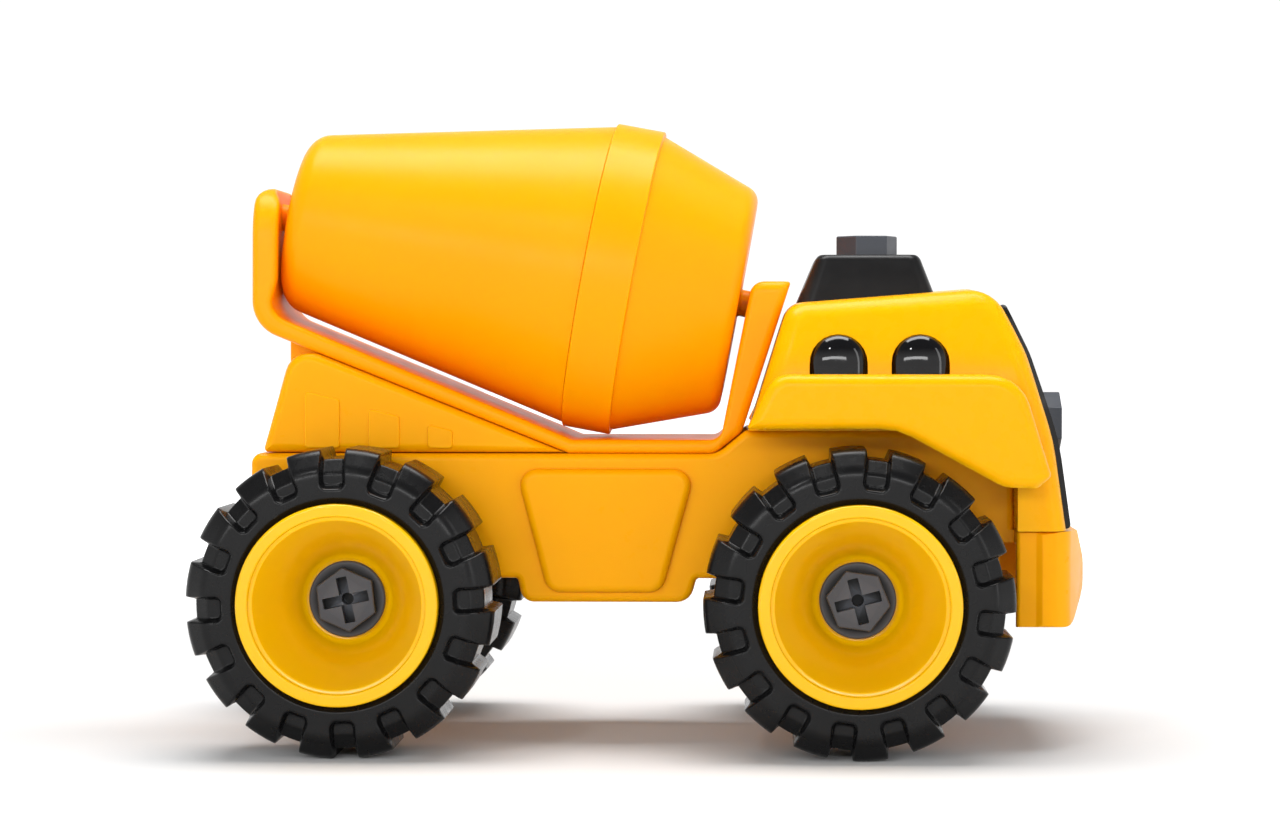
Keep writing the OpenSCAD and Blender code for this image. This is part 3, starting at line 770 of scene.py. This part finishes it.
def make_chassis():
    """The one-piece tub with its belly, side panels, axle hangers and front bumper."""
    rear_x = span("chassis")[0].x
    half = CHASSIS_HALF
    hull = [(rear_x, DECK_Z, 3.2), (rear_x, FLOOR_Z, 3.2), (-37.5, FLOOR_Z, 1),
            (-36, BELLY_Z, 4), (13, BELLY_Z, 5), (15, FLOOR_Z, 1), (ARCH_X, FLOOR_Z, 0),
            (ARCH_X, CAB_DECK_Z, 0), (29.3, CAB_DECK_Z, 2), (21, DECK_Z, 7)]
    bm = slab(hull, -half, half, 2.2)
    panel = [(-38, 80.8, 5), (-28.6, 44.6, 5), (5, 44.6, 5), (15, 80.8, 5)]
    bm = both(bm, mirrored_slab, panel, half - 1, half + 3, 2.4)
    for end in ENDS:
        low, high = span(f"tyre_{end}_right")
        x, z = (low.x + high.x) / 2, (low.z + high.z) / 2
        hanger = [(x - 11, z - 11, 3), (x + 11, z - 11, 3), (x + 11, FLOOR_Z + 3, 0),
                  (x - 11, FLOOR_Z + 3, 0)]
        bm = combine(bm, slab(hanger, -half + 0.4, half - 0.4, 1.5), "UNION")
        axle = rod(ALONG_Y @ Matrix.Translation((x, z, 0)), AXLE_R, -AXLE_HALF, AXLE_HALF)
        bm = combine(bm, axle, "UNION")
    nose_side = [(100, 63.2, 0), (100, 35.7, 0), (124, 35.7, 4), (129, 46, 14),
                 (128.8, 54, 10), (126, 63.2, 0.8)]
    near_half = [(100, -half, 0), (ARCH_X, -half, 0), (ARCH_X, -41.1, 1.2), (113, -41.1, 1.2),
                 (114.8, -42, 1.2), (122, -41, 8), (129, -18, 16)]
    nose_plan = near_half + [(x, -y, radius) for x, y, radius in near_half[::-1]]
    bumper = combine(slab(nose_side, -BUMPER_HALF, BUMPER_HALF, 1.6),
                     slab(nose_plan, 30, 70, place=ALONG_Z), "INTERSECT")
    bm = combine(bm, bumper, "UNION")
    inside = half - 2.6
    for cutter in (block((34, -inside, FLOOR_Z - 4), (47, inside, CAB_DECK_Z - 3)),
                   block((76, -inside, 28), (ARCH_X - 3, inside, CAB_DECK_Z - 3)),
                   block((ARCH_X - 4, -38, 28), (122, 38, 59.6))):
        bm = combine(bm, cutter, "DIFFERENCE")
    for x in (-56, -5):
        bolt_well = rod(Matrix.Translation((x, 0, 0)), 12, BELLY_Z - 4, 58)
        bm = combine(bm, bolt_well, "DIFFERENCE")
    finish_piece("chassis_tub", bm, "truck", "cab_yellow", ["chassis"])


def make_pedestal():
    """The ribbed wedge that carries the cradle's sloping beam."""
    rear_x = span("rear_pedestal")[0].x
    deck, half = DECK_Z, CHASSIS_HALF
    wedge = [(rear_x, deck + 0.25, 1.2), (-104.5, beam_z(-104.5) - 3.4, 7),
             (-97, beam_z(-97) - 0.15, 7), (-23.6, deck + 0.25, 0)]
    bm = slab(wedge, -half, half, 2.8)
    upright = sharp((-107, 104), (-107, beam_z(-107) - 0.15), (-98, beam_z(-98) - 0.15), (-98, 104))
    bm = combine(bm, slab(upright, -12, 12), "UNION")
    for x, width, top in ((-100, 10.4, 103.6), (-81.2, 9.2, 98.4), (-63.8, 7.4, 93.8)):
        rib = [(x, deck + 1.5, 1), (x, top, 1), (x + width, top - width * 0.25, 1),
               (x + width, deck + 1.5, 1)]
        bm = both(bm, mirrored_slab, rib, half - 1, half + 0.6, 0.55)
    finish_piece("ribbed_pedestal", bm, "truck", "cab_yellow", ["rear_pedestal"], crease=30)


# ---- cab ----------------------------------------------------------------

CAB_HALF = 44.0
CAB_REAR, CAB_FRONT = (41.8, 129.6), (101.0, 134.2)
SILL_Z, SILL_REAR_X, NOSE_Z = 92.3, 30.2, 63.5
FENDER_IN, FENDER_OUT, FENDER_LIP = 43, 62, 59.6
PANEL_HALF, PANEL_TOP_Z, PANEL_THICK = 37, 131, 3
PANEL_BROW, PANEL_CHEEK = (108.6, 114.5, 30), (116.4, 89.6, 60)   # bends in the panel's back
GAP = 0.15               # play round the black panel and the windows
WINDOW_X, WINDOW_R, WINDOW_Z = (56.1, 79.6), 8.2, 111.7
WINDOW_LOW_Z, OPENING_LOW_Z = 108.0, 103
WINDOW_MID_Y = 41.3
WINDOW_BULGE, WINDOW_BACK = 4.4, 3.0     # how far a window stands out and reaches in
WINDOW_STRAIGHT = 0.35                   # the share of a window's rows below its domed top
WINDOW_SIDES, WINDOW_ROWS = 24, 14
LAMP_LOW_Z, LAMP_TAPER_Z = 127.5, 130.4


def cab_warp(p):
    """Leans the cab's sides in above the windows, and crowns its roof."""
    lean = 7 * smooth((p.z - 106) / 30) / CAB_HALF
    crown = 1.0 * (p.y / CAB_HALF) ** 2 * smooth((p.z - 120) / 12)
    return Vector((p.x, p.y * (1 - lean), p.z - crown))


def panel_face(grow):
    """Front outline (y, z, radius) of the black panel, or of its pocket in the cab."""
    half = PANEL_HALF + grow
    top = PANEL_TOP_Z + grow
    return [(-half, 60, 0), (half, 60, 2), (half, 100, 30), (half - 5, top, 8),
            (5 - half, top, 8), (-half, 100, 30)]


def window_opening(x, side):
    """The cutter for one round-topped window, down to behind the fender's top."""
    r = WINDOW_R + GAP
    top = WINDOW_Z + r
    outline = [(x - r, OPENING_LOW_Z, 0), (x + r, OPENING_LOW_Z, 0), (x + r, top, r - 0.02),
               (x - r, top, r - 0.02)]
    return mirrored_slab(outline, 38, 50, 0, side)


def fender(side):
    """One fender, hollow underneath behind a thin outer wall."""
    wing = [(29.8, 93.2, 0.5), (37.5, 108.6, 7), (106.8, 108.6, 12), (115.6, 80, 1.5),
            (111.5, 76.4, 3), (102, 76.8, 9), (72, 93.2, 18)]
    hollow = [(29, 60, 0), (38.6, 104.4, 3), (103.2, 104.4, 8), (112.4, 78, 0), (109, 60, 0)]
    return combine(mirrored_slab(wing, FENDER_IN, FENDER_OUT, 3.4, side),
                   mirrored_slab(hollow, FENDER_IN - 1, FENDER_LIP, 0, side), "DIFFERENCE")


def make_cab():
    """The cab shell with its window openings, the panel's pocket and both fenders."""
    lean_back = (CAB_REAR[0] - SILL_REAR_X) / (CAB_REAR[1] - SILL_Z)
    low_z = NOSE_Z - 7
    outline = [(SILL_REAR_X - lean_back * (SILL_Z - low_z), low_z, 0), (*CAB_REAR, 6.5),
               (*CAB_FRONT, 11), (110.2, 114.5, 30), (118.0, 89.6, 60), (122.7, low_z, 0)]
    bm = slab(outline, -CAB_HALF, CAB_HALF, 5.5, turns=10)
    bm = combine(bm, block((-20, -60, 20), (ARCH_X, 60, SILL_Z)), "DIFFERENCE")
    bm = combine(bm, block((0, -60, 20), (150, 60, NOSE_Z)), "DIFFERENCE")
    pocket = slab([(102.5, 128.1, 0), PANEL_BROW, PANEL_CHEEK, (120.8, 61, 0),
                   (135, 61, 0), (135, 133.6, 0), (110, 133.6, 0)], -50, 50)
    pocket = combine(pocket, slab(panel_face(GAP), 90, 140, place=ALONG_X), "INTERSECT")
    bm = combine(bm, pocket, "DIFFERENCE")
    for x in WINDOW_X:
        for side in (-1, 1):
            bm = combine(bm, window_opening(x, side), "DIFFERENCE")
    # rows of vertices that the warp can bend
    cut_rows(bm, 2, [106 + 2.0 * k for k in range(15)])
    cut_rows(bm, 1, [-38 + 4.0 * k for k in range(20)])
    reshape(bm, cab_warp)
    bm = both(bm, fender)
    finish_piece("cab_and_fenders", bm, "truck", "fender_yellow", ["cab_shell"], soften=0.35)


def window_ring(bm, x, sign, rise):
    """One level ring of a window, at a share of the way up it."""
    if rise < WINDOW_STRAIGHT:
        z = WINDOW_LOW_Z + (WINDOW_Z - WINDOW_LOW_Z) * rise / WINDOW_STRAIGHT
        size = 1.0
    else:
        angle = math.pi / 2 * (rise - WINDOW_STRAIGHT) / (1 - WINDOW_STRAIGHT)
        z = WINDOW_Z + WINDOW_R * math.sin(angle)
        size = max(0.02, math.cos(angle))
    ring = []
    for k in range(WINDOW_SIDES):
        turn = 2 * math.pi * k / WINDOW_SIDES
        deep = WINDOW_BULGE if math.sin(turn) > 0 else WINDOW_BACK
        ring.append(bm.verts.new((x + WINDOW_R * size * math.cos(turn),
                                  sign * (WINDOW_MID_Y + deep * size * math.sin(turn)), z)))
    return ring


def make_windows():
    """Bullet-shaped glossy windows, two a side: round across, with a domed top."""
    for side, sign in SIDES.items():
        bm = bmesh.new()
        for x in WINDOW_X:
            rings = [window_ring(bm, x, sign, i / WINDOW_ROWS) for i in range(WINDOW_ROWS + 1)]
            for one, two in zip(rings, rings[1:]):
                for k in range(WINDOW_SIDES):
                    j = (k + 1) % WINDOW_SIDES
                    bm.faces.new((one[k], one[j], two[j], two[k]))
            bm.faces.new(rings[0][::-1])
            bm.faces.new(rings[-1])
        finish_piece(f"window_domes_{side}", bm, "truck", "gloss_black",
                     [f"side_windows_{side}"], crease=60)


def make_front_panel():
    """The black panel, bent like the cab's front, with a seat for the front bolt."""
    brow_x, brow_z, brow_r = PANEL_BROW
    cheek_x, cheek_z, cheek_r = PANEL_CHEEK
    strip = [(102.6 + GAP, 128, 0.5), (brow_x + GAP, brow_z, brow_r),
             (cheek_x + GAP, cheek_z, cheek_r), (120.4 + GAP, 63.9, 0),
             (120.4 + PANEL_THICK, 63.9, 1.2), (cheek_x + PANEL_THICK + 0.4, cheek_z, cheek_r),
             (brow_x + PANEL_THICK, brow_z, brow_r), (104.5, 129.4, 1.2)]
    face = slab(panel_face(0), 95, 130, place=ALONG_X)
    bm = combine(slab(strip, -PANEL_HALF - 2, PANEL_HALF + 2), face, "INTERSECT")
    bm = combine(bm, rod(FRONT_SEAT, 10.3, 0, 10), "DIFFERENCE")
    finish_piece("front_grille_panel", bm, "truck", "satin_black", ["front_panel"], soften=0.7)


def make_light_box():
    """The roof's black lamp housing, narrower towards its top."""
    low, high = span("roof_light_box")
    top = high.z
    middle_x, reach_x, reach_y = (low.x + high.x) / 2, (high.x - low.x) / 2, high.y
    outline = [(-reach_x, -reach_y, 5), (reach_x, -reach_y, 5), (reach_x, reach_y, 5),
               (-reach_x, reach_y, 5)]
    bm = slab(outline, LAMP_LOW_Z, top, 0, place=ALONG_Z, edge_high=1.7)

    def taper(p):
        rise = (p.z - LAMP_TAPER_Z) / (top - LAMP_TAPER_Z)
        return Vector((middle_x + 0.3 * rise + p.x * (1 - 0.26 * rise),
                       p.y * (1 - 0.185 * rise), p.z))

    reshape(bm, taper)
    finish_piece("roof_lamp_housing", bm, "truck", "satin_black", ["roof_light_box"], crease=50)


def make_body_bolts():
    """The bolt on the roof's lamp housing, and the one in the front panel."""
    roof = Matrix.Translation((65.6, 0, span("roof_light_box")[1].z))
    make_bolt("roof_hex_bolt", "roof_bolt", roof, head_h=6, length=44, hex_turn=8, slot_turn=-5)
    make_bolt("front_hex_bolt", "front_bolt", FRONT_SEAT, head_h=6, length=20, hex_turn=0,
              slot_turn=-13)


def dress_cad_nodes():
    """Gives every CAD node the material of its slot."""
    slots = {row["node"]: row["material_slot"] for row in frame["record"]["subparts"]
             if "material_slot" in row}
    for name, node in frame["nodes"].items():
        node.data.materials.clear()
        node.data.materials.append(LOOKS[slots[name]])


# ---- stage --------------------------------------------------------------

FLOOR_REACH = 6.0                # metres
GLOW_FROM, GLOW_TO = 0.3, 0.9    # metres from the origin, between which the floor turns white
LIGHT_TARGET = (0, 0, 0.08)
# name, place in metres, width and height in metres, watts
LIGHTS = (("overhead", (0, 0.08, 1.0), (0.9, 0.45), 12),
          ("key", (-0.2, -1.2, 0.38), (1.4, 0.12), 6),
          ("fill", (0.95, -0.6, 0.4), (0.15, 0.9), 1.5),
          ("spark", (-0.4, -0.95, 0.9), (0.08, 0.08), 1.2))
# the world is brighter near the horizon than overhead, by the height of the direction
SKY_HEIGHTS, SKY_STRENGTHS = (0.24, 0.6), (1.05, 0.22)


def make_floor():
    """A pale floor that fades into a white background."""
    m = Maker("floor_paper")
    tint = m.blend(m.noise(6, 2), (0.74, 0.74, 0.74), (0.76, 0.76, 0.76))
    m.link(tint, "Base Color")
    m.set("Roughness", 0.7)
    m.set("Specular IOR Level", 0.1)
    away = m.tree.nodes.new("ShaderNodeVectorMath")
    away.operation = "LENGTH"
    m.tree.links.new(m.where, away.inputs[0])
    m.set("Emission Color", (1, 1, 1, 1))
    m.link(m.ramp(away.outputs["Value"], GLOW_FROM, GLOW_TO, 0, 1), "Emission Strength")
    bm = bmesh.new()
    bm.faces.new([bm.verts.new((x * FLOOR_REACH, y * FLOOR_REACH, 0))
                  for x, y in ((-1, -1), (1, -1), (1, 1), (-1, 1))])
    mesh = bpy.data.meshes.new("floor")
    bm.to_mesh(mesh)
    bm.free()
    floor = bpy.data.objects.new("floor", mesh)
    bpy.context.scene.collection.objects.link(floor)
    mesh.materials.append(m.material)


def soft_light(name, place, size, power):
    """A rectangular lamp that faces the truck."""
    lamp = bpy.data.lights.new(name, "AREA")
    lamp.shape = "RECTANGLE"
    lamp.size, lamp.size_y = size
    lamp.energy = power
    light = bpy.data.objects.new(name, lamp)
    light.location = place
    aim = Vector(LIGHT_TARGET) - Vector(place)
    light.rotation_euler = aim.to_track_quat("-Z", "Y").to_euler()
    bpy.context.scene.collection.objects.link(light)


def make_lights():
    """A white world that darkens overhead, and the lamps."""
    world = bpy.data.worlds.new("studio")
    world.use_nodes = True
    nodes, links = world.node_tree.nodes, world.node_tree.links
    sky = nodes["Background"]
    sky.inputs["Color"].default_value = (1, 1, 1, 1)
    direction = nodes.new("ShaderNodeTexCoord")
    split = nodes.new("ShaderNodeSeparateXYZ")
    fade = nodes.new("ShaderNodeMapRange")
    for socket, number in zip(("From Min", "From Max", "To Min", "To Max"),
                              (*SKY_HEIGHTS, *SKY_STRENGTHS)):
        fade.inputs[socket].default_value = number
    links.new(direction.outputs["Generated"], split.inputs["Vector"])
    links.new(split.outputs["Z"], fade.inputs["Value"])
    links.new(fade.outputs["Result"], sky.inputs["Strength"])
    bpy.context.scene.world = world
    for light in LIGHTS:
        soft_light(*light)


def make_camera():
    """A long lens level with the tops of the cab's windows, turned a little to the rear."""
    yaw, pitch = math.radians(2.25), math.radians(1.35)
    look = Vector((-math.sin(yaw) * math.cos(pitch), math.cos(yaw) * math.cos(pitch),
                   -math.sin(pitch)))
    data = bpy.data.cameras.new("camera")
    data.lens = 84.6
    data.sensor_width = 36
    camera = bpy.data.objects.new("camera", data)
    camera.location = Vector((33, -909, 118.1)) * MM
    camera.rotation_euler = look.to_track_quat("-Z", "Y").to_euler()
    bpy.context.scene.collection.objects.link(camera)
    bpy.context.scene.camera = camera
    bpy.context.scene.view_settings.view_transform = "Standard"


# ---- everything, in order -----------------------------------------------

for build in (make_body_bolts, make_wheels, make_drum, make_cradle, make_chassis, make_pedestal,
              make_cab, make_windows, make_front_panel, make_light_box, dress_cad_nodes,
              make_floor, make_lights, make_camera):
    build()
